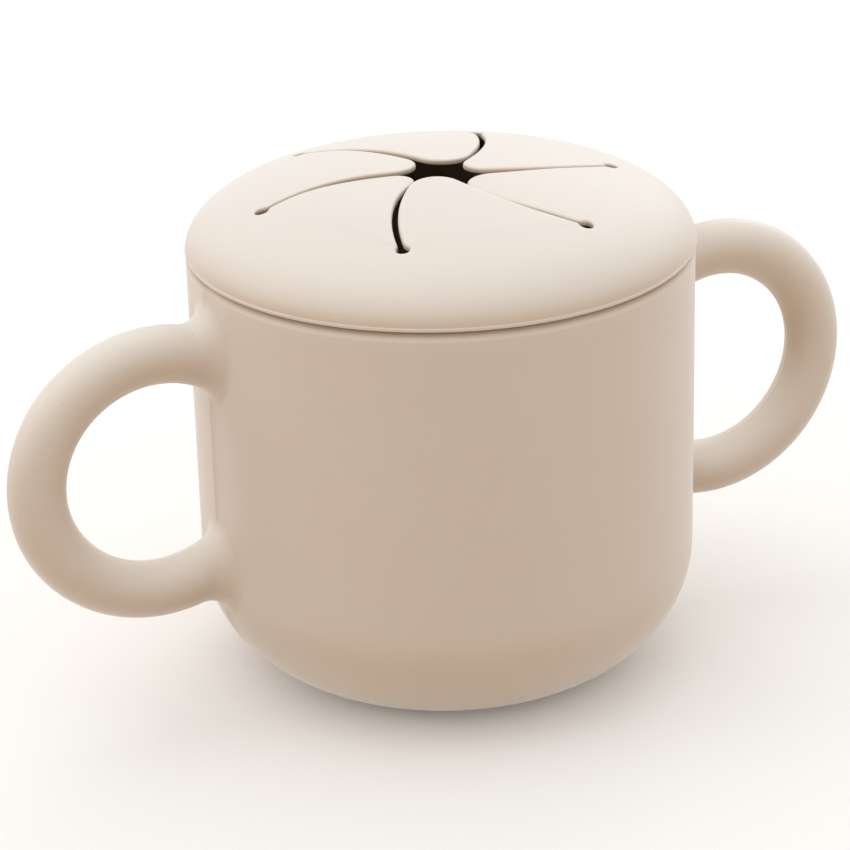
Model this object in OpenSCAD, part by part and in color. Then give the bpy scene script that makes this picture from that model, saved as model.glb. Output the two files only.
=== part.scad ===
// Toddler snack cup: a silicone cup with two ring handles, and a soft lid whose
// six curved petals part for a small hand. Millimetres, +Z up, handles along X.
// The origin is the centre of the base. What is moulded in one is split here
// into a node for each form: the handles from the cup, the petals from the lid.

/* [Cup] */
// Outer radius of the cup's wall
cup_r = 43; // [39:0.5:48]
// Height of the cup up to its rim
cup_h = 75; // [70:1:90]
// Thickness of the wall and the floor
wall_t = 3.4; // [3:0.1:4]
// Radius of the curve from the wall down to the base
base_curve_r = 21; // [14:0.5:24]
// Radius of the rim's two edges
rim_edge_r = 0.8; // [0.4:0.1:1.2]

/* [Handles] */
// Radius of a handle's ring, along the middle of its tube
ring_r = 21; // [19:0.5:23]
// Diameter of a handle's tube
tube_d = 10; // [8:0.2:12]
// Distance from the cup's wall out to the ring's centre
ring_out = 10.1; // [8:0.1:12]
// Distance from the rim down to the ring's centre
ring_drop = 31.4; // [29:0.2:34]
// Radius of the fillet where the tube meets the wall
root_fillet_r = 3.5; // [2.5:0.25:4.5]

/* [Lid] */
// Height of the lid's crown above the cup's rim
lid_rise = 13.6; // [12:0.2:16]
// Thickness of the lid and its petals
lid_t = 1.4; // [1.2:0.1:2]
// Radius of the lid's shoulder, from the wall up to the crown
shoulder_r = 7.5; // [5:0.25:9]
// Radius of the bead along the lid's edge
bead_r = 0.6; // [0.4:0.05:0.9]
// How far the bead stands out past the cup's wall
bead_proud = 0.2; // [0.1:0.05:0.4]
// Depth of the ring that plugs the cup's mouth
plug_h = 6; // [5:0.25:8]
// Thickness of that ring
plug_t = 1.6; // [1.2:0.1:2.4]
// Radius of the curve from that ring up to the lid's underside
under_curve_r = 4; // [3:0.25:5]
// Radius of a sealing rib around that ring
rib_r = 0.6; // [0.5:0.05:0.8]
// Distance from one sealing rib to the next
rib_pitch = 2.2; // [1.8:0.1:2.6]

/* [Star] */
// Radius of the circle through the slits' end holes
star_r = 30.9; // [28:0.1:32]
// Diameter of a slit's end hole
slit_hole_d = 3; // [2:0.1:3.6]
// Radius of a slit's curve
slit_bend_r = 45.6; // [40:0.2:60]
// How far a slit's curve passes from the lid's centre
slit_miss = 1.3; // [0.8:0.1:2]
// Width of a slit
slit_w = 0.9; // [0.7:0.05:1.5]
// Radius of a petal's tip
tip_r = 3.2; // [2.6:0.1:3.6]
// Turn of the first end hole from the handles' line, in degrees
star_turn = -7.2; // [-30:0.1:30]

/* [Fit] */
// Gap between the rim and the lid's edge
seat_gap = 0.2; // [0.1:0.05:0.4]
// Gap between a sealing rib and the cup's wall
rib_gap = 0.15; // [0.1:0.05:0.3]
// Gap between a petal's root and the lid it bends from
root_gap = 0.25; // [0.15:0.05:0.4]

/* [Hidden] */
$fn = 240;
silicone = "#DECDBA";
petal_count = 6;
petal_turn = 360 / petal_count;

// Cup: its inside runs parallel to its outside
bore_r = cup_r - wall_t;
bore_curve_r = base_curve_r - wall_t;
past = 1; // what a cut runs past the face it opens

// Handles: the ring's plane holds the cup's axis
ring_x = cup_r + ring_out;
ring_z = cup_h - ring_drop;
root_lean = asin(ring_out / ring_r); // between the tube and the wall's normal
root_z = ring_r * cos(root_lean); // from the ring's centre to a root
fillet_bury = 0.3; // what the fillet's edges are sunk into the tube and the wall
pad_r = tube_d / 2 + root_fillet_r - fillet_bury;
pad_shift = (tube_d / cos(root_lean) - tube_d) / 2; // of a pad from the root's middle
side_x = sqrt(pow(cup_r, 2) - pow(pad_r, 2)); // of the wall beside a pad
low_z = ring_z - root_z - pad_shift - pad_r - root_fillet_r * tan(root_lean);
low_x = cup_r - base_curve_r + sqrt(pow(base_curve_r, 2) - pow(max(base_curve_r - low_z, 0), 2));

// Lid: the crown is a sphere, and the shoulder a curve tangent to it that
// leaves the lid's edge upright
seat_z = cup_h + seat_gap;
crown_rise = lid_rise - seat_gap;
crown_r = (pow(cup_r - shoulder_r, 2) + pow(crown_rise, 2) - pow(shoulder_r, 2))
          / (2 * (crown_rise - shoulder_r));
crown_z = cup_h + lid_rise - crown_r;
bead_x = cup_r + bead_proud - bead_r;
rib_proud = rib_r / 2;
plug_r = bore_r - rib_gap - rib_proud;
plug_bore_r = plug_r - plug_t;

// Star: a slit is an arc about bend_c, seen from its end hole at angle 0
bend_c = slit_bend_r - slit_miss;
bend_turn = acos((pow(star_r, 2) + pow(bend_c, 2) - pow(slit_bend_r, 2))
                 / (2 * star_r * bend_c));
near_r = slit_bend_r - slit_w / 2;
far_r = slit_bend_r + slit_w / 2;
tip_step = 0.02; // by which a tip's round stops short of the petal's edges

// Petals: the hinge line runs under the chord between two end holes, halfway
// between the heights that the lid's middle layer has along it
chord_a = star_r * cos(petal_turn / 2);
middle_r = crown_r - lid_t / 2;
chord_mid_z = crown_z + sqrt(pow(middle_r, 2) - pow(chord_a, 2));
chord_end_z = crown_z + sqrt(pow(middle_r, 2) - pow(star_r, 2));
hinge_z = (chord_mid_z + chord_end_z) / 2;
knuckle_r = (lid_t + chord_mid_z - chord_end_z) / 2;
hinge_a = chord_a - root_gap - knuckle_r;

function polar(r, turn) = [r * cos(turn), r * sin(turn)];

// Where a petal's tip is centred: it touches both of the petal's edges, which
// are arcs about c1, inside it, and about c2, outside it
function tip_centre(c1, c2) =
    let (gap = norm(c2 - c1), along = (c2 - c1) / gap, across = [-along[1], along[0]],
         r1 = near_r - tip_r, r2 = far_r + tip_r,
         x = (pow(gap, 2) + pow(r1, 2) - pow(r2, 2)) / (2 * gap))
    c1 + x * along + sqrt(pow(r1, 2) - pow(x, 2)) * across;

// The upright section of a cup or a plug's solid, from its axis to its side
module cup_section(side_r, curve_r, low_z, high_z) {
    translate([0, low_z]) square([side_r - curve_r, high_z - low_z]);
    translate([0, low_z + curve_r]) square([side_r, high_z - low_z - curve_r]);
    translate([side_r - curve_r, low_z + curve_r]) intersection() {
        circle(curve_r);
        translate([0, -curve_r]) square(curve_r);
    }
}

// How high a dome's side starts to curve in: the dome is a sphere of radius
// ball_r about ball_z, with a curve of curve_r tangent to it and to its side
function curve_z(side_r, curve_r, ball_r, ball_z) =
    ball_z + sqrt(pow(ball_r - curve_r, 2) - pow(side_r - curve_r, 2));

// The upright section of that dome's solid, above the height where it curves in
module dome_section(side_r, curve_r, ball_r, ball_z) {
    curve_c = [side_r - curve_r, curve_z(side_r, curve_r, ball_r, ball_z)];
    meet_ray = curve_c + 2 * curve_r * (curve_c - [0, ball_z]) / (ball_r - curve_r);
    intersection() {
        translate([0, ball_z]) circle(ball_r, $fn = 4 * $fn);
        polygon([[0, curve_c[1]], curve_c, meet_ray, [0, ball_z + ball_r + past]]);
    }
    intersection() {
        translate(curve_c) circle(curve_r);
        polygon([curve_c, curve_c + [2 * curve_r, 0], curve_c + 2 * [curve_r, curve_r], meet_ray]);
    }
}

// A square corner's waste, to be cut off so that the corner is round
module corner_waste(r) {
    difference() {
        square(r + past);
        circle(r);
    }
}

module cup_outside() {
    rotate_extrude() cup_section(cup_r, base_curve_r, 0, cup_h);
}

module cup() {
    color(silicone) rotate_extrude() difference() {
        cup_section(cup_r, base_curve_r, 0, cup_h);
        cup_section(bore_r, bore_curve_r, wall_t, cup_h + past);
        translate([cup_r - rim_edge_r, cup_h - rim_edge_r]) corner_waste(rim_edge_r);
        translate([bore_r + rim_edge_r, cup_h - rim_edge_r])
            mirror([1, 0]) corner_waste(rim_edge_r);
    }
}

// The fillet around one root: two pads on the wall, each a round block less the
// channel that a ball of the fillet's radius would roll around it. Their edges
// are sunk into the wall where it is edge_x from the cup's axis
module root_fillet(edge_x) {
    pad_x = edge_x + root_fillet_r - fillet_bury;
    pad_z = root_z + (pad_x - cup_r) * tan(root_lean);
    for (side = [-1, 1]) translate([0, 0, pad_z + side * pad_shift]) rotate([0, 90, 0])
        rotate_extrude() difference() {
            translate([0, pad_x - 2 * root_fillet_r]) square([pad_r, 2 * root_fillet_r]);
            translate([pad_r, pad_x]) circle(root_fillet_r);
        }
}

// A ring handle on the +X side of the cup, cut back to the cup's own surface
module handle() {
    color(silicone) difference() {
        translate([0, 0, ring_z]) {
            translate([ring_x, 0, 0]) rotate([90, 0, 0])
                rotate_extrude() translate([ring_r, 0]) circle(d = tube_d);
            root_fillet(side_x);
            mirror([0, 0, 1]) root_fillet(min(side_x, low_x));
        }
        cup_outside();
    }
}

module left_handle() {
    mirror([1, 0, 0]) handle();
}

module right_handle() {
    handle();
}

// The hollow under the lid, from the plug's lower edge up
module lid_hollow_section() {
    low_z = seat_z - plug_h;
    high_z = curve_z(plug_bore_r, under_curve_r, crown_r - lid_t, crown_z);
    dome_section(plug_bore_r, under_curve_r, crown_r - lid_t, crown_z);
    translate([0, low_z - past]) square([plug_bore_r, high_z - low_z + past]);
}

// The lid's shell, with no star cut in it
module lid_shell() {
    rotate_extrude() difference() {
        union() {
            difference() {
                dome_section(cup_r, shoulder_r, crown_r, crown_z);
                translate([bead_x, seat_z - past]) square([bead_r + past, bead_r + past]);
            }
            translate([bead_x, seat_z + bead_r]) circle(bead_r);
            translate([0, seat_z - plug_h + plug_t / 2]) square([plug_r, plug_h]);
            translate([plug_r - plug_t / 2, seat_z - plug_h + plug_t / 2]) circle(plug_t / 2);
            for (i = [1, 2])
                translate([plug_r - rib_proud, seat_z - i * rib_pitch + rib_r / 2]) circle(rib_r);
        }
        lid_hollow_section();
    }
}

// The round holes that end the slits
module end_holes(h) {
    for (i = [1:petal_count]) rotate(star_turn + i * petal_turn)
        translate([star_r, 0, 0]) cylinder(h = h, d = slit_hole_d);
}

module lid() {
    color(silicone) difference() {
        lid_shell();
        translate([0, 0, cup_h]) {
            rotate(star_turn) cylinder(h = lid_rise + past, r = star_r, $fn = petal_count);
            end_holes(lid_rise + past);
        }
    }
}

// A petal's outline, between the slit from the hole at angle 0 and the next
module petal_outline() {
    c1 = polar(bend_c, bend_turn);
    c2 = polar(bend_c, bend_turn + petal_turn);
    tip = tip_centre(c1, c2);
    square_1 = 2 * tip_r * (tip - c1) / norm(tip - c1);
    square_2 = 2 * tip_r * (c2 - tip) / norm(c2 - tip);
    inward = -tip / norm(tip) * star_r;
    tip_side = [tip + square_1, tip, tip + square_2, tip + square_2 + inward, tip + square_1 + inward];
    difference() {
        intersection() {
            translate(c1) circle(near_r, $fn = 4 * $fn);
            polygon([[0, 0], polar(star_r, -petal_turn / 2), polar(2 * star_r, petal_turn / 2),
                     polar(star_r, petal_turn * 1.5)]);
        }
        translate(c2) circle(far_r, $fn = 4 * $fn);
        polygon(tip_side);
        for (i = [0, 1]) rotate(i * petal_turn) translate([star_r, 0]) circle(d = slit_hole_d);
    }
    translate(tip) circle(tip_r - tip_step);
}

// What a petal may fill seen along its hinge line: all that is inward of the
// line, and a knuckle about it, so that the root clears the lid as it turns
module petal_reach() {
    rotate(petal_turn / 2) translate([hinge_a, 0, hinge_z]) {
        rotate([90, 0, 0]) cylinder(h = 2 * star_r, r = knuckle_r, center = true);
        translate([-2 * star_r, -star_r, -lid_rise])
            cube([2 * star_r, 2 * star_r, 2 * lid_rise]);
    }
}

// The part of the lid's crown that the star is cut in
module crown_shell() {
    rotate_extrude() intersection() {
        translate([0, crown_z]) difference() {
            circle(crown_r, $fn = 4 * $fn);
            circle(crown_r - lid_t, $fn = 4 * $fn);
        }
        translate([0, cup_h]) square([star_r, lid_rise + past]);
    }
}

// Petal i starts from the i-th slit and lies counter-clockwise of it
module petal(i) {
    color(silicone) rotate(star_turn + (i - 1) * petal_turn) intersection() {
        crown_shell();
        translate([0, 0, cup_h]) linear_extrude(lid_rise + past) petal_outline();
        petal_reach();
    }
}

cup();
left_handle();
right_handle();
lid();
for (i = [1:petal_count]) petal(i);
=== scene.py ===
import math

import bmesh
import bpy
import numpy as np
from mathutils import Matrix, Vector
from mathutils.geometry import delaunay_2d_cdt


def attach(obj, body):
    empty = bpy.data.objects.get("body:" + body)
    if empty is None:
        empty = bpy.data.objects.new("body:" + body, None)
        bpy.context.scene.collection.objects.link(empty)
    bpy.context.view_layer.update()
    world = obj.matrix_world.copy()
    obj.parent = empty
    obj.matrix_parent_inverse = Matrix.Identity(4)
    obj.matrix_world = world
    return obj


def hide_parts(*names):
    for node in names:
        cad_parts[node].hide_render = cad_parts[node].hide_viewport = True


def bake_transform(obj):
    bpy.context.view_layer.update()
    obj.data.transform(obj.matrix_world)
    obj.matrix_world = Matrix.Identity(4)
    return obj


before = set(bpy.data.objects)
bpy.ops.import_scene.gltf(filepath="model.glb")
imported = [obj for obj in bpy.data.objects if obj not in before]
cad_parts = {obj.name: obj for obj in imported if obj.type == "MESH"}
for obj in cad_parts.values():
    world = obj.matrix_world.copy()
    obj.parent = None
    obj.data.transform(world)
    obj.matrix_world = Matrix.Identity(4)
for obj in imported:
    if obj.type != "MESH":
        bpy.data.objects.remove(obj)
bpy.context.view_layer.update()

# A toddler's snack cup in two soft silicone mouldings: the cup with its ring
# handles, and the lid with its six curved petals. Sizes are in millimetres and
# turn into metres in makePiece.

mm = 0.001


def makePiece(name, points, faces, material):
    mesh = bpy.data.meshes.new(name)
    mesh.from_pydata([tuple(p) for p in np.asarray(points, float) * mm], [], faces)
    mesh.validate()
    work = bmesh.new()
    work.from_mesh(mesh)
    bmesh.ops.recalc_face_normals(work, faces=work.faces)
    top = max(work.faces, key=lambda f: f.calc_center_median().z)
    if top.normal.z < 0:
        bmesh.ops.reverse_faces(work, faces=work.faces)
    work.to_mesh(mesh)
    work.free()
    mesh.shade_smooth()
    mesh.materials.append(material)
    piece = bpy.data.objects.new(name, mesh)
    bpy.context.scene.collection.objects.link(piece)
    return piece


def polar(r, degrees):
    return np.array([r * math.cos(math.radians(degrees)), r * math.sin(math.radians(degrees))])


def headingOf(v):
    return math.degrees(math.atan2(v[1], v[0]))


def smoothStep(t):
    t = np.clip(t, 0.0, 1.0)
    return t * t * (3 - 2 * t)


def arcRow(centre, r, start, end, step=0.25):  # points along an arc, from one heading to another
    count = max(3, int(abs(math.radians(end - start)) * r / step) + 1)
    return [np.asarray(centre) + polar(r, a) for a in np.linspace(start, end, count)]


def bridge(faces, rowA, rowB, closed=False):  # quads between two rows of point numbers
    n = len(rowA)
    for i in range(n if closed else n - 1):
        j = (i + 1) % n
        faces.append((rowA[i], rowA[j], rowB[j], rowB[i]))


# materials

def linearColour(hexText):  # sRGB hex to the linear colour that a shader takes
    values = [int(hexText[i:i + 2], 16) / 255 for i in (1, 3, 5)]
    return [v / 12.92 if v <= 0.04045 else ((v + 0.055) / 1.055) ** 2.4 for v in values] + [1.0]


def addNode(tree, kind, settings=None, links=None):
    # one node with its settings; a link is {input: (node, output)}, a plain value goes on the socket
    node = tree.nodes.new(kind)
    for key, value in (settings or {}).items():
        setattr(node, key, value)
    for key, value in (links or {}).items():
        socket = node.inputs[key]
        if isinstance(value, tuple) and isinstance(value[0], bpy.types.Node):
            tree.links.new(value[0].outputs[value[1]], socket)
        else:
            socket.default_value = value
    return node


siliconeLook = {
    "colour": "#C2AA92",        # warm oat beige
    "paler": "#C5AF98",         # where the pigment is thinner
    "paintedTopLightColour": "#F5EFE7",         # painted highlight: a pale colour mixed into faces that look up
    "paintedTopLightShare": 0.7,
    "paintedTopLightFrom": -0.35,         # how far a face must look up (1 is level) for any painted highlight to start
    "paintedLidShadeAbove": 74.7,            # mm up, above which painted shade under the lid cuts the painted highlight to a tenth
    "paintedLidShadeEdge": 0.8,           # mm below that, over which the painted highlight fades down
    "patchSize": 16.0,          # mm across a patch of uneven pigment
    "peelSize": 0.55,           # mm between the mould's fine dimples, drawn coarser than the real 0.2
    "peelDepth": 0.012,         # mm
    "speckSize": 7.0,           # mm between specks of lint
    "speckRadius": 0.16,        # mm, of the largest
    "lint": "#A8947E",
    "lintShare": 0.55,
    "ior": 1.41,
    "roughness": 0.5,
    "roughnessSpread": 0.04,
    "bumpStrength": 0.5,
    "sheen": 0.65,
    "sheenRoughness": 0.5,
    "sheenTint": (1.0, 0.98, 0.95, 1.0),
    "glow": 0.3,                # share of the light that sinks in
    "glowDepth": 1.2,           # mm
    "glowColours": (1.0, 0.9, 0.8),  # how far red, green and blue sink, as shares of that
}


def mouldedSilicone(name, look):
    # Silicone rubber, compression moulded in a blasted steel mould: an even, velvety
    # surface with a broad soft sheen, and light that sinks a little way in. The colour
    # also holds a painted highlight on faces that look up, and painted shade under the lid.
    material = bpy.data.materials.new(name)
    material.use_nodes = True
    tree = material.node_tree
    tree.nodes.clear()
    place = addNode(tree, "ShaderNodeTexCoord")
    patches = addNode(tree, "ShaderNodeTexNoise", links={
        "Vector": (place, "Object"), "Scale": 1 / (look["patchSize"] * mm),
        "Detail": 3.0, "Roughness": 0.5})
    pigment = addNode(tree, "ShaderNodeMix", {"data_type": "RGBA"}, {
        "Factor": (patches, "Fac"), 6: linearColour(look["colour"]), 7: linearColour(look["paler"])})
    # painted highlight: the pale colour goes in more the more a face looks up
    facing = addNode(tree, "ShaderNodeSeparateXYZ", links={"Vector": (place, "Normal")})
    paintedTopLight = addNode(tree, "ShaderNodeMapRange", {"interpolation_type": "SMOOTHSTEP"}, {
        "Value": (facing, "Z"), "From Min": look["paintedTopLightFrom"], "From Max": 0.98,
        "To Min": 0.0, "To Max": look["paintedTopLightShare"]})
    # painted shade: near the rim, under the lid, the painted highlight drops to a tenth
    height = addNode(tree, "ShaderNodeSeparateXYZ", links={"Vector": (place, "Object")})
    paintedLidShade = addNode(tree, "ShaderNodeMapRange", links={
        "Value": (height, "Z"), "From Min": (look["paintedLidShadeAbove"] - look["paintedLidShadeEdge"]) * mm,
        "From Max": look["paintedLidShadeAbove"] * mm, "To Min": 1.0, "To Max": 0.1})
    share = addNode(tree, "ShaderNodeMath", {"operation": "MULTIPLY"}, {
        0: (paintedTopLight, "Result"), 1: (paintedLidShade, "Result")})
    paintedTopLit = addNode(tree, "ShaderNodeMix", {"data_type": "RGBA"}, {
        "Factor": (share, "Value"), 6: (pigment, 2), 7: linearColour(look["paintedTopLightColour"])})
    specks = addNode(tree, "ShaderNodeTexVoronoi", {"feature": "F1"}, {
        "Vector": (place, "Object"), "Scale": 1 / (look["speckSize"] * mm), "Randomness": 1.0})
    radius = look["speckRadius"] / look["speckSize"]
    speckCore = addNode(tree, "ShaderNodeMapRange", links={
        "Value": (specks, "Distance"), "From Min": 0.4 * radius, "From Max": radius,
        "To Min": look["lintShare"], "To Max": 0.0})
    colour = addNode(tree, "ShaderNodeMix", {"data_type": "RGBA"}, {
        "Factor": (speckCore, "Result"), 6: (paintedTopLit, 2), 7: linearColour(look["lint"])})
    shine = addNode(tree, "ShaderNodeMapRange", links={
        "Value": (patches, "Fac"), "From Min": 0.3, "From Max": 0.7,
        "To Min": look["roughness"] - look["roughnessSpread"],
        "To Max": look["roughness"] + look["roughnessSpread"]})
    dimples = addNode(tree, "ShaderNodeTexNoise", links={
        "Vector": (place, "Object"), "Scale": 1 / (look["peelSize"] * mm),
        "Detail": 2.0, "Roughness": 0.6})
    bump = addNode(tree, "ShaderNodeBump", links={
        "Height": (dimples, "Fac"), "Strength": look["bumpStrength"],
        "Distance": look["peelDepth"] * mm})
    shader = addNode(tree, "ShaderNodeBsdfPrincipled", links={
        "Base Color": (colour, 2), "Roughness": (shine, "Result"), "Normal": (bump, "Normal"),
        "IOR": look["ior"], "Subsurface Weight": look["glow"], "Subsurface Radius": look["glowColours"],
        "Subsurface Scale": look["glowDepth"] * mm, "Sheen Weight": look["sheen"],
        "Sheen Roughness": look["sheenRoughness"], "Sheen Tint": look["sheenTint"]})
    addNode(tree, "ShaderNodeOutputMaterial", links={"Surface": (shader, "BSDF")})
    return material


cupSilicone = mouldedSilicone("compressionMouldedSiliconeCup", siliconeLook)
# The lid: the same silicone, its colour a little paler than the cup's to paint the stronger light on the
# lid, with its own painted highlight on faces that look up and no painted lid shade
lidSilicone = mouldedSilicone("compressionMouldedSiliconeLid", {
    **siliconeLook, "colour": "#C7B19A", "paler": "#CBB6A0",
    "paintedTopLightColour": "#F7F3EE", "paintedTopLightShare": 0.56, "paintedTopLightFrom": 0.1,
    "paintedLidShadeAbove": 1000.0})
print("materials: moulded silicone for the cup and for the lid")


# the cup

cupLook = {
    "radius": 43.0,
    "height": 75.0,
    "wall": 3.4,
    "baseCurve": 21.0,
    "rimRound": 1.4,
    "lipRound": 0.8,            # the rim's inner edge
    "partingStep": 0.07,        # by which the mould's back half stands proud of the front
    "partingWidth": 0.32,
    "partingDip": 0.28,         # the hollow that the front half has next to the line
    "partingReach": 3.0,        # from the line to the bottom of that hollow
    "gateMark": 0.25,           # depth of the trimmed gate under the base
    "gateRadius": 2.8,
    "turns": 240,
}


def partingShift(y):  # how far the wall stands out either side of the mould's parting line
    step = cupLook["partingStep"] * smoothStep(y / cupLook["partingWidth"] + 0.5)
    ahead = np.maximum(-y, 0) / cupLook["partingReach"]
    return step - cupLook["partingDip"] * ahead * np.exp(1 - ahead)


def revolve(profile, angles, points, faces):
    # spins an outline of (radius, height, share of the parting line's step) about the axis
    rings = []
    for r, z, share in profile:
        if r == 0:
            rings.append([len(points)])
            points.append((0.0, 0.0, z))
            continue
        ring = []
        for a in angles:
            out = r + share * float(partingShift(r * math.sin(a))) if share else r
            ring.append(len(points))
            points.append((out * math.cos(a), out * math.sin(a), z))
        rings.append(ring)
    for low, high in zip(rings, rings[1:]):
        for i in range(len(angles)):
            j = (i + 1) % len(angles)
            quad = (low[i % len(low)], low[j % len(low)], high[j % len(high)], high[i % len(high)])
            faces.append(tuple(dict.fromkeys(quad)))
    return rings


def cupProfile(look):
    r, h, t, curve, edge = (look[k] for k in ("radius", "height", "wall", "baseCurve", "rimRound"))
    lip = look["lipRound"]
    flat = r - curve
    gate, gateR = look["gateMark"], look["gateRadius"]
    rows = [(0, gate, 0), (gateR - 0.4, gate, 0), (gateR, 0, 0)]
    rows += [(8, 0, 0), (15, 0, 0), (flat - 1.5, 0, 0)]
    for a in np.linspace(-90, 0, 31):
        x, z = polar(curve, a)
        rows.append((flat + x, curve + z, x / curve))
    rows += [(r, z, 1) for z in np.linspace(curve, h - edge, 20)[1:-1]]
    for a in np.linspace(0, 90, 11):
        x, z = polar(edge, a)
        rows.append((r - edge + x, h - edge + z, x / edge))
    inner = r - t
    for a in np.linspace(90, 180, 7):
        x, z = polar(lip, a)
        rows.append((inner + lip + x, h - lip + z, 0))
    rows += [(inner, z, 0) for z in np.linspace(h - lip, curve, 12)[1:-1]]
    for a in np.linspace(0, -90, 25):
        x, z = polar(curve - t, a)
        rows.append((flat + x, curve + z, 0))
    rows += [(flat - 6, t, 0), (8, t, 0), (0, t, 0)]
    return rows


def cupAngles(look):
    even = np.linspace(0, 2 * math.pi, look["turns"], endpoint=False)
    ahead = np.array([0.05, 0.11, 0.2, 0.32, 0.55, 0.9])  # points closer together by the parting line
    near = np.concatenate([-ahead[::-1], ahead]) / look["radius"]
    return np.sort(np.concatenate([even, near % (2 * math.pi), math.pi + near]))


points, faces = [], []
revolve(cupProfile(cupLook), cupAngles(cupLook), points, faces)
cupBody = makePiece("cupBody", points, faces, cupSilicone)
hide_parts("cup")
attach(cupBody, "cup")
print("cup:", len(points), "points")


# the ring handles

handleLook = {
    "ring": 21.0,               # radius along the middle of the grip
    "out": 10.1,                # from the wall to the ring's centre
    "drop": 31.4,               # from the rim down to the ring's centre
    "thick": 9.86,              # the grip seen from the front
    "across": 8.8,              # the grip seen from the end
    "fillet": 4.0,
    "flash": 0.07,              # height of the parting line's fine ridge
    "flashWidth": 0.16,         # either side of its top
    "sunk": 1.2,                # how deep the grip's hidden edge lies in the wall
    "rings": 110,
    "around": 72,
}


def cupGap(p):  # distance of points from the cup's outside, less than 0 inside it
    out = np.hypot(p[:, 0], p[:, 1])
    curve, low = cupLook["baseCurve"], np.minimum(p[:, 2] - cupLook["baseCurve"], 0)
    inner = out - (cupLook["radius"] - curve)
    return np.where(low < 0, np.hypot(np.maximum(inner, 0), low), inner) - curve


def cupSlope(p):  # which way the cup's outside faces nearest to those points
    tiny = 1e-3
    slope = np.stack([(cupGap(p + tiny * e) - cupGap(p - tiny * e)) for e in np.eye(3)], 1)
    return slope / np.linalg.norm(slope, axis=1, keepdims=True)


def gripPoints(look, side, along, around):
    # points of the grip and their normals: along is the heading on the ring, around goes round the grip
    centreX, centreZ = cupLook["radius"] + look["out"], cupLook["height"] - look["drop"]
    outX, outZ = np.cos(along), np.sin(along)
    a, b = look["thick"] / 2, look["across"] / 2
    ridge = look["flash"] * np.exp(-(b * np.sin(around) / look["flashWidth"]) ** 2)
    inPlane, sideways = (a + ridge) * np.cos(around), b * np.sin(around)
    reach = look["ring"] + inPlane
    where = np.stack([side * (centreX + reach * outX), sideways, centreZ + reach * outZ], 1)
    n = np.stack([np.cos(around) / a, np.sin(around) / b], 1)
    n /= np.linalg.norm(n, axis=1, keepdims=True)
    return where, np.stack([side * n[:, 0] * outX, n[:, 1], n[:, 0] * outZ], 1)


def rootHeadings(look, side, around, sign):
    # where a ball in the corner between the grip and the wall touches the grip
    near, far = np.full(len(around), 50.0), np.full(len(around), 140.0)
    for _ in range(40):
        mid = (near + far) / 2
        where, normal = gripPoints(look, side, np.radians(sign * mid), around)
        clear = cupGap(where + look["fillet"] * normal) > look["fillet"]
        near, far = np.where(clear, mid, near), np.where(clear, far, mid)
    return np.radians(sign * near)


def rootRows(look, side, around, heading):
    # the fillet from the grip to the wall, then an edge that is sunk into the wall
    ball = look["fillet"]
    where, normal = gripPoints(look, side, heading, around)
    centre = where + ball * normal
    wall = cupSlope(centre)
    turn = np.arccos(np.clip((normal * wall).sum(1), -1, 1))[:, None]
    rows, shares = [], []
    for t in np.linspace(0, 1, 14)[1:]:
        direction = (np.sin((1 - t) * turn) * normal + np.sin(t * turn) * wall) / np.sin(turn)
        rows.append(centre - ball * direction)
        shares.append(t ** 3)
    foot = rows[-1]
    away = foot - where
    away -= (away * wall).sum(1)[:, None] * wall
    away /= np.linalg.norm(away, axis=1, keepdims=True)
    rows += [foot + 0.5 * away - 0.04 * wall, foot + 0.2 * away - look["sunk"] * wall]
    shares += [1.0, 1.0]
    # the wall's own parting line runs on up the fillet and fades out there
    return [row + share * partingShift(row[:, 1])[:, None] * wall for row, share in zip(rows, shares)]


def makeHandle(name, side, look):
    even = np.linspace(0, 2 * math.pi, look["around"], endpoint=False)
    near = np.array([-0.36, -0.2, -0.12, -0.05, 0.05, 0.12, 0.2, 0.36]) / (look["across"] / 2)
    around = np.sort(np.concatenate([even, near % (2 * math.pi), math.pi + near]))
    top, low = rootHeadings(look, side, around, 1), rootHeadings(look, side, around, -1)
    rows = rootRows(look, side, around, top)[::-1]
    for t in np.linspace(0, 1, look["rings"]):
        rows.append(gripPoints(look, side, top + (low - top) * t, around)[0])
    rows += rootRows(look, side, around, low)
    points, faces, n = [], [], len(around)
    for row in rows:
        points += [tuple(p) for p in row]
    for k in range(len(rows) - 1):
        bridge(faces, range(k * n, (k + 1) * n), range((k + 1) * n, (k + 2) * n), closed=True)
    for k in (0, len(rows) - 1):
        points.append(tuple(rows[k].mean(0)))
        faces += [(k * n + i, k * n + (i + 1) % n, len(points) - 1) for i in range(n)]
    handle = makePiece(name, points, faces, cupSilicone)
    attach(handle, "cup")
    return handle


leftHandle = makeHandle("leftHandle", -1, handleLook)
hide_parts("left_handle")
rightHandle = makeHandle("rightHandle", 1, handleLook)
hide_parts("right_handle")
print("handles: two rings, filleted to the wall")


# the lid and its star

lidLook = {
    "radius": 43.0,
    # height over the rim, by powers of the square root of 1 - (r / radius)^2
    "crown": (1.4303, 7.426, 24.3426, -39.7254, 19.9982),
    "thick": 1.4,
    "seat": 0.5,                # from the rim up to the lid's edge
    "bead": 0.36,               # radius of the bead along that edge
    "beadOut": 0.17,
    "plugDepth": 6.0,
    "plugRadius": 39.15,
    "plugThick": 1.6,
    "ribRound": 0.6,
    "ribPitch": 2.2,
    "sheetRadius": 34.0,        # inside it the mesh follows the star
    "meshStep": 0.9,            # between the mesh's points there
    "turns": 240,
}

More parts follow.
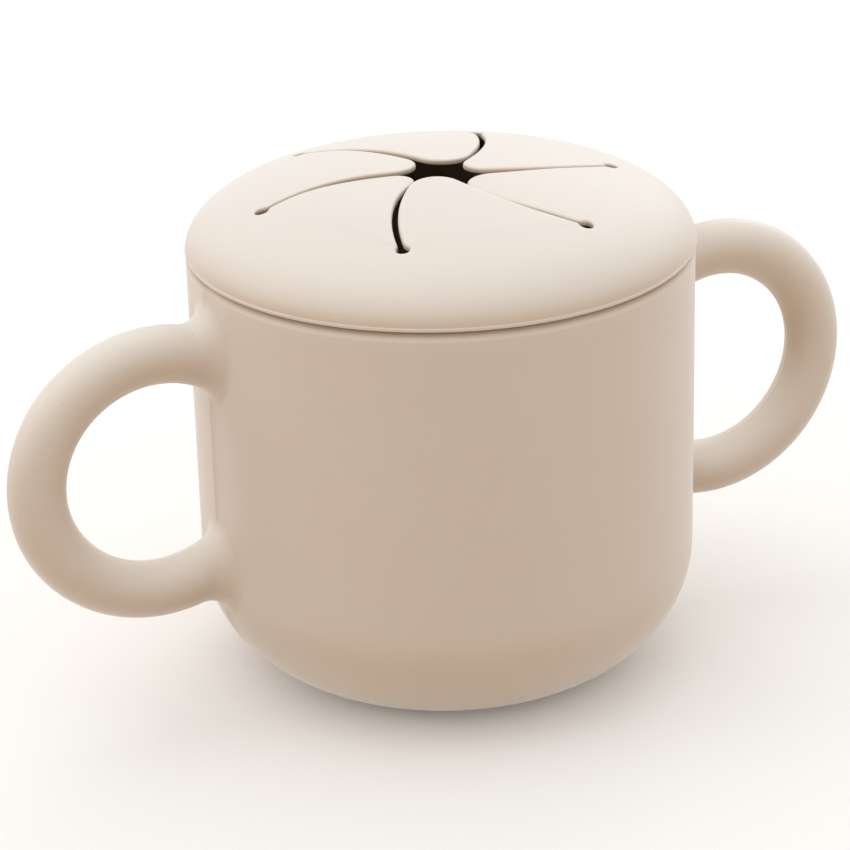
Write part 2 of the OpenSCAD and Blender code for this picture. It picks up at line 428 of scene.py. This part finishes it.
starLook = {
    # slits 0 to 5, counter-clockwise: no two are cut or sit quite alike
    # distance and heading of each end hole
    "ends": ((30.9, -7.2), (28.8, 51.2), (31.7, 114.7), (30.9, 172.8), (30.4, 233.5), (30.9, 295.0)),
    "bends": (45.6, 36.0, 45.6, 45.6, 38.0, 45.6),  # radii of their curves
    "slits": (0.5, 0.95, 0.5, 0.5, 1.0, 0.45),      # widths
    "miss": 1.3,                # how far a curve passes from the middle
    "hole": 1.1,                # radius of a slit's end hole
    "edgeRound": 0.5,           # of the upper edges
    "edgeThin": 0.4,            # by which the underside rises towards the edges
    "cornerSoft": 0.42,         # how far corners in the outline are smoothed
    # petals 1 to 6: petal 1 is between slits 0 and 1
    "turn": -7.2,               # heading that the petals' roots are set out from
    "tips": (3.0, 4.8, 4.4, 3.3, 4.6, 5.0),         # radii
    "lifts": (-0.18, -0.48, -0.98, -1.33, 0.17, -0.98),  # how far each tip has sprung up or sunk
    "liftStart": 22.0,          # from the lid's middle, where a petal starts to rise or sink
    "liftReach": 20.0,
    "thinReach": 2.5,           # from an edge to the petal's full thickness
    "hingeHeight": 84.26,
    "bendStart": 0.2,           # from a petal's root line inward, where it starts to bend
    "bendReach": 4.0,
    "meshStep": 0.8,            # between the mesh's points
    "outlineStep": 0.28,        # along a petal's outline
    "rootStep": 0.7,            # along its root
    "endTurn": 1.2,             # from the root, where the rounded edge turns to run along it
}


def domeZ(r):
    root = np.sqrt(np.clip(1 - (np.asarray(r, float) / lidLook["radius"]) ** 2, 0, None))
    c = lidLook["crown"]
    return cupLook["height"] + c[0] + root * (c[1] + root * (c[2] + root * (c[3] + root * c[4])))


def underZ(r):
    slope = (domeZ(np.asarray(r) + 0.01) - domeZ(np.asarray(r) - 0.01)) / 0.02
    return domeZ(r) - lidLook["thick"] * np.sqrt(1 + slope ** 2)


edgeSteps = [(starLook["edgeRound"] * (1 - math.cos(a)), starLook["edgeRound"] * (1 - math.sin(a)))
             for a in np.radians([0, 13, 27, 42, 57, 73, 90])]  # (in from the outline, down from the dome)


def newSheet():  # a flat pattern, with a drop for each point, for an upper and a lower skin
    return {"xy": [], "drop": [], "faces": [], "edges": []}


def addRow(sheet, row, drop):
    start = len(sheet["xy"])
    sheet["xy"] += [tuple(p) for p in row]
    sheet["drop"] += [drop] * len(row)
    return list(range(start, start + len(row)))


def insideLoops(p, loops):  # which points lie inside an odd number of loops
    inside = np.zeros(len(p), bool)
    for loop in loops:
        a, b = loop, np.roll(loop, -1, axis=0)
        for (x0, y0), (x1, y1) in zip(a, b):
            crosses = (p[:, 1] < y0) != (p[:, 1] < y1)
            if y0 != y1:
                inside ^= crosses & (p[:, 0] < x0 + (p[:, 1] - y0) * (x1 - x0) / (y1 - y0))
    return inside


def fillSheet(sheet, loops, spacing):
    # triangles between the loops, over an even grid of points
    outlines = [np.array([sheet["xy"][i] for i in loop]) for loop in loops]
    allEdge = np.concatenate(outlines)
    low, high = allEdge.min(0), allEdge.max(0)
    grid = []
    for k, y in enumerate(np.arange(low[1], high[1], spacing * 0.866)):
        for x in np.arange(low[0] + (k % 2) * spacing / 2, high[0], spacing):
            grid.append((x, y))
    grid = np.array(grid)
    grid = grid[insideLoops(grid, outlines)]
    gap = np.sqrt(((grid[:, None, :] - allEdge[None, :, :]) ** 2).sum(2)).min(1)
    gridNumbers = addRow(sheet, grid[gap > 0.55 * spacing], 0.0)
    numbers = [i for loop in loops for i in loop] + gridNumbers
    edges, start = [], 0
    for loop in loops:
        edges += [(start + i, start + (i + 1) % len(loop)) for i in range(len(loop))]
        start += len(loop)
    found = delaunay_2d_cdt([Vector(sheet["xy"][i]) for i in numbers], edges, [], 0, 1e-7, True)
    source = [numbers[o[0]] for o in found[3]]
    corners = np.array([[found[0][i][:] for i in f] for f in found[2]])
    ab, ac = corners[:, 1] - corners[:, 0], corners[:, 2] - corners[:, 0]
    area = abs(ab[:, 0] * ac[:, 1] - ab[:, 1] * ac[:, 0])
    keep = insideLoops(corners.mean(1), outlines) & (area > 1e-3)  # no slivers along the straight roots
    sheet["faces"] += [tuple(source[i] for i in f) for f, k in zip(found[2], keep) if k]


def raiseSheet(sheet, points, faces, lift=None):
    # the two skins of a sheet, and the wall between them along its outlines
    xy = np.array(sheet["xy"])
    r = np.hypot(xy[:, 0], xy[:, 1])
    drop = np.array(sheet["drop"])
    rise = lift(xy) if lift else 0.0
    edges = xy[[i for edge in sheet["edges"] for i in edge]]
    inset = np.sqrt(((xy[:, None, :] - edges[None, :, :]) ** 2).sum(2)).min(1)
    thin = starLook["edgeThin"] * (1 - smoothStep(inset / starLook["thinReach"])) + 0.4 * drop
    start, n = len(points), len(xy)
    points += [(x, y, z) for (x, y), z in zip(xy, domeZ(r) - drop + rise)]
    points += [(x, y, z) for (x, y), z in zip(xy, underZ(r) + thin + rise)]
    for f in sheet["faces"]:
        faces.append(tuple(start + i for i in f))
        faces.append(tuple(start + n + i for i in reversed(f)))
    for edge in sheet["edges"]:
        bridge(faces, [start + i for i in edge], [start + n + i for i in edge])
    return start, n


def holeCentre(i):
    return polar(*starLook["ends"][i % 6])


def toNextHole(i):
    step = holeCentre(i + 1) - holeCentre(i)
    return step / np.linalg.norm(step)


def chordRow(i):  # the line from one end hole to the next, where a petal leaves the lid
    a, b, along = holeCentre(i), holeCentre(i + 1), toNextHole(i)
    inset = starLook["hole"] + starLook["edgeRound"]
    span = np.linalg.norm(b - a) - 2 * inset
    count = int(span / starLook["rootStep"])
    return [a + along * (inset + span * k / count) for k in range(1, count)]


def lidSheet():
    sheet = newSheet()
    inner = []
    for i in range(6):
        start, end = headingOf(-toNextHole(i - 1)), headingOf(toNextHole(i))
        end += 360 if end < start else 0
        middle = np.linspace(start + 6, end - 6, 47)
        headings = np.concatenate([[start, start + 1], middle, [end - 1, end]])
        rows = []
        for inset, drop in edgeSteps:
            arc = [holeCentre(i) + polar(starLook["hole"] + inset, a) for a in headings]
            rows.append(addRow(sheet, arc, drop))
        for a, b in zip(rows, rows[1:]):
            bridge(sheet["faces"], a, b)
        sheet["edges"].append(rows[0])
        inner += rows[-1] + addRow(sheet, chordRow(i), 0.0)
    turns = lidLook["turns"]
    outer = addRow(sheet, [polar(lidLook["sheetRadius"], 360 * k / turns) for k in range(turns)], 0.0)
    fillSheet(sheet, [outer, inner], lidLook["meshStep"])
    return sheet, outer


def lidProfile(look):
    # from the sheet's edge over the shoulder and the bead, round the plug, and back under the dome
    rim, r = cupLook["height"], look["radius"]
    turn = np.linspace(math.asin(look["sheetRadius"] / r), math.pi / 2, 34)[1:]
    rows = [(r * math.sin(a), float(domeZ(r * math.sin(a))), 0) for a in turn]
    seat, bead = rim + look["seat"], look["bead"]
    beadX = r + look["beadOut"] - bead
    join = math.degrees(math.acos((r - beadX) / bead))
    rows += [(r, seat + bead + bead * math.sin(math.radians(join)) + 0.06, 0)]
    for a in np.linspace(join, -90, 14):
        x, z = polar(bead, a)
        rows.append((beadX + x, seat + bead + z, 0))
    plug, rib, corner = look["plugRadius"], look["ribRound"], 0.25
    rows += [(plug + 1.2, seat, 0), (plug + corner, seat, 0), (plug, seat - corner, 0)]
    for k in (1, 2):
        middle = seat - k * look["ribPitch"] + rib / 2
        for a in np.linspace(60, -60, 9):
            x, z = polar(rib, a)
            rows.append((plug - rib / 2 + x, middle + z, 0))
    low, t = seat - look["plugDepth"], look["plugThick"]
    for a in np.linspace(0, -180, 13):
        x, z = polar(t / 2, a)
        rows.append((plug - t / 2 + x, low + t / 2 + z, 0))
    bore, boreTop = plug - t, rim + 2.0
    rows += [(bore, z, 0) for z in np.linspace(low + t / 2, boreTop, 5)[1:]]
    edge = look["sheetRadius"]
    slope = float(underZ(edge + 0.2) - underZ(edge - 0.2)) / 0.4
    knee = (bore, float(underZ(edge)) + slope * (bore - edge))
    for t in np.linspace(0, 1, 14)[1:-1]:
        x = (1 - t) ** 2 * bore + 2 * t * (1 - t) * knee[0] + t * t * edge
        z = (1 - t) ** 2 * boreTop + 2 * t * (1 - t) * knee[1] + t * t * float(underZ(edge))
        rows.append((x, z, 0))
    return rows


sheet, outer = lidSheet()
points, faces = [], []
start, n = raiseSheet(sheet, points, faces)
angles = [2 * math.pi * k / lidLook["turns"] for k in range(lidLook["turns"])]
rings = revolve(lidProfile(lidLook), angles, points, faces)
bridge(faces, [start + i for i in outer], rings[0], closed=True)
bridge(faces, rings[-1], [start + n + i for i in outer], closed=True)
lidShell = makePiece("lidShell", points, faces, lidSilicone)
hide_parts("lid")
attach(lidShell, "lid")
print("lid:", len(points), "points")


def slitCentre(i):  # what slit i curves about
    distance, heading = starLook["ends"][i % 6]
    bend = starLook["bends"][i % 6]
    reach = bend - starLook["miss"]
    cosine = (distance ** 2 + reach ** 2 - bend ** 2) / (2 * distance * reach)
    return polar(reach, heading + math.degrees(math.acos(cosine)))


def meet(a, aR, b, bR):  # of the two points where circles cross, the one nearer the star's middle
    gap = np.linalg.norm(b - a)
    along = (b - a) / gap
    x = (gap ** 2 + aR ** 2 - bR ** 2) / (2 * gap)
    across = math.sqrt(aR ** 2 - x ** 2) * np.array([-along[1], along[0]])
    return min(a + x * along + across, a + x * along - across, key=np.linalg.norm)


def turnRow(centre, r, start, end):  # the short way round a circle from one point to another
    first = headingOf(start - centre)
    sweep = (headingOf(end - centre) - first + 180) % 360 - 180
    return arcRow(centre, r, first, first + sweep, 0.05)


def petalOutline(i):
    # petal i between slit i and the next, from end hole to end hole
    look, tipR = starLook, starLook["tips"][i]
    c0, c1, h0, h1 = slitCentre(i), slitCentre(i + 1), holeCentre(i), holeCentre(i + 1)
    hole = look["hole"]
    j = (i + 1) % 6
    r0, r1 = look["bends"][i] - look["slits"][i] / 2, look["bends"][j] + look["slits"][j] / 2
    tip = meet(c0, r0 - tipR, c1, r1 + tipR)
    corners = [h0 + hole * toNextHole(i), meet(c0, r0, h0, hole),
               tip + tipR * (tip - c0) / np.linalg.norm(tip - c0),
               tip + tipR * (c1 - tip) / np.linalg.norm(c1 - tip),
               meet(c1, r1, h1, hole), h1 - hole * toNextHole(i)]
    circles = [(h0, hole), (c0, r0), (tip, tipR), (c1, r1), (h1, hole)]
    rows = [turnRow(*circle, p, q) for circle, p, q in zip(circles, corners, corners[1:])]
    return np.concatenate([np.array(row if k == 0 else row[1:]) for k, row in enumerate(rows)])


def evenRow(row, step):  # the same line in even steps, with a short first and last one
    length = np.concatenate([[0], np.cumsum(np.linalg.norm(np.diff(row, axis=0), axis=1))])
    count = int(length[-1] / step)
    whole, short = length[-1], 0.03
    marks = np.concatenate([[0, short], np.linspace(0, whole, count)[1:-1], [whole - short, whole]])
    return np.stack([np.interp(marks, length, row[:, k]) for k in (0, 1)], 1)


def softenRow(row, radius, step=0.05):  # rounds corners, and leaves the two ends where they are
    length = np.concatenate([[0], np.cumsum(np.linalg.norm(np.diff(row, axis=0), axis=1))])
    marks = np.linspace(0, length[-1], int(length[-1] / step))
    fine = np.stack([np.interp(marks, length, row[:, k]) for k in (0, 1)], 1)
    width = int(3 * radius / step)
    kernel = np.exp(-0.5 * (np.arange(-width, width + 1) * step / radius) ** 2)
    kernel /= kernel.sum()
    padded = np.pad(fine, ((width, width), (0, 0)), mode="reflect", reflect_type="odd")
    return np.stack([np.convolve(padded[:, k], kernel, "valid") for k in (0, 1)], 1)


def petalSheet(i):
    sheet = newSheet()
    row = evenRow(softenRow(petalOutline(i), starLook["cornerSoft"]), starLook["outlineStep"])
    tangent = np.gradient(row, axis=0)
    tangent /= np.linalg.norm(tangent, axis=1, keepdims=True)
    inward = np.stack([tangent[:, 1], -tangent[:, 0]], 1)
    for end, along in ((0, toNextHole(i)), (-1, -toNextHole(i))):  # the ends go in along the root
        share = smoothStep(np.linalg.norm(row - row[end], axis=1) / starLook["endTurn"])[:, None]
        inward = share * inward + (1 - share) * along
    rows = [addRow(sheet, row + inset * inward, drop) for inset, drop in edgeSteps]
    for p, q in zip(rows, rows[1:]):
        bridge(sheet["faces"], p, q)
    sheet["edges"].append(rows[0])
    root = addRow(sheet, chordRow(i)[::-1], 0.0)
    fillSheet(sheet, [rows[-1] + root], starLook["meshStep"])
    return sheet


for i in range(6):
    facing = starLook["turn"] + 60 * i + 30
    out = polar(1, facing)

    def tipLift(xy, out=out, amount=starLook["lifts"][i]):
        return amount * smoothStep((starLook["liftStart"] - xy @ out) / starLook["liftReach"])

    points, faces = [], []
    raiseSheet(petalSheet(i), points, faces, tipLift)
    petal = makePiece("petal" + str(i + 1), points, faces, lidSilicone)
    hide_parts("petal_" + str(i + 1))
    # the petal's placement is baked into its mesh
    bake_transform(petal)


# floor, light and camera

studioLook = {
    "floor": "#F4F2EF",
    "floorSize": 6.0,           # metres
    "floorGlow": 0.08,          # seen by the camera and in gloss alone, so that the paper is white
    "world": 0.87,
    "aim": (0, 0, 0.05),        # what the lamps point at
    # where each lamp stands and how wide it is, in metres, and its watts
    "lamps": {
        "overheadSoftbox": ((-0.1, 0.3, 1.3), 1.6, 3.0),
        "leftSoftbox": ((-1.1, 0.45, 0.55), 0.7, 1.5),
        "rightSoftbox": ((0.9, 0.9, 0.6), 0.7, 2.3),
    },
}


def studioFloor(look):
    # matt white paper: plain, with the cup's soft shadow on it
    material = bpy.data.materials.new("mattWhitePaper")
    material.use_nodes = True
    shader = material.node_tree.nodes["Principled BSDF"]
    shader.inputs["Base Color"].default_value = linearColour(look["floor"])
    shader.inputs["Roughness"].default_value = 0.9
    shader.inputs["Specular IOR Level"].default_value = 0.1
    shader.inputs["Emission Color"].default_value = (1, 1, 1, 1)
    tree = material.node_tree
    rays = addNode(tree, "ShaderNodeLightPath")
    seen = addNode(tree, "ShaderNodeMath", {"operation": "MAXIMUM"}, {
        0: (rays, "Is Camera Ray"), 1: (rays, "Is Glossy Ray")})
    glow = addNode(tree, "ShaderNodeMath", {"operation": "MULTIPLY"}, {
        0: (seen, "Value"), 1: look["floorGlow"]})
    tree.links.new(glow.outputs["Value"], shader.inputs["Emission Strength"])
    half = look["floorSize"] / 2
    mesh = bpy.data.meshes.new("studioFloor")
    corners = [(-half, -half, 0), (half, -half, 0), (half, half, 0), (-half, half, 0)]
    mesh.from_pydata(corners, [], [(0, 1, 2, 3)])
    mesh.materials.append(material)
    floor = bpy.data.objects.new("studioFloor", mesh)
    bpy.context.scene.collection.objects.link(floor)


def studioWorld(look):
    world = bpy.data.worlds.new("studioWorld")
    bpy.context.scene.world = world
    world.use_nodes = True
    tree = world.node_tree
    tree.nodes.clear()
    rays = addNode(tree, "ShaderNodeLightPath")
    seen = addNode(tree, "ShaderNodeMath", {"operation": "MAXIMUM"}, {
        0: (rays, "Is Camera Ray"), 1: (rays, "Is Glossy Ray")})
    fill = addNode(tree, "ShaderNodeBackground", links={
        "Color": (1, 1, 1, 1), "Strength": look["world"]})
    white = addNode(tree, "ShaderNodeBackground", links={"Color": (1, 1, 1, 1), "Strength": 1.0})
    mix = addNode(tree, "ShaderNodeMixShader", links={
        "Fac": (seen, "Value"), 1: (fill, "Background"), 2: (white, "Background")})
    addNode(tree, "ShaderNodeOutputWorld", links={"Surface": (mix, "Shader")})


def softLamp(name, where, aim, size, watts):
    data = bpy.data.lights.new(name, "AREA")
    data.shape = "DISK"
    data.size = size
    data.energy = watts
    lamp = bpy.data.objects.new(name, data)
    lamp.location = where
    lamp.rotation_euler = (Vector(aim) - Vector(where)).to_track_quat("-Z", "Y").to_euler()
    bpy.context.scene.collection.objects.link(lamp)


studioFloor(studioLook)
studioWorld(studioLook)
for name, (where, size, watts) in studioLook["lamps"].items():
    softLamp(name, where, studioLook["aim"], size, watts)

cameraLook = {
    "place": (-0.2075, -0.4430, 0.2518),
    "forward": (0.3838, 0.8346, -0.3951),
    "roll": -1.542,             # degrees
    "lens": 130.07,
}


def makeCamera(look):
    data = bpy.data.cameras.new("camera")
    data.sensor_width = 36.0
    data.sensor_fit = "HORIZONTAL"
    data.lens = look["lens"]
    data.clip_start, data.clip_end = 0.01, 50.0
    camera = bpy.data.objects.new("camera", data)
    forward = Vector(look["forward"]).normalized()
    right = forward.cross(Vector((0, 0, 1))).normalized()
    up = right.cross(forward)
    roll = math.radians(look["roll"])
    rolledRight = math.cos(roll) * right + math.sin(roll) * up
    rolledUp = -math.sin(roll) * right + math.cos(roll) * up
    turn = Matrix((rolledRight, rolledUp, -forward)).transposed().to_4x4()
    camera.matrix_world = Matrix.Translation(Vector(look["place"])) @ turn
    bpy.context.scene.collection.objects.link(camera)
    bpy.context.scene.camera = camera


makeCamera(cameraLook)
bpy.context.scene.view_settings.view_transform = "Standard"
print("studio: floor, world, lamps and camera")
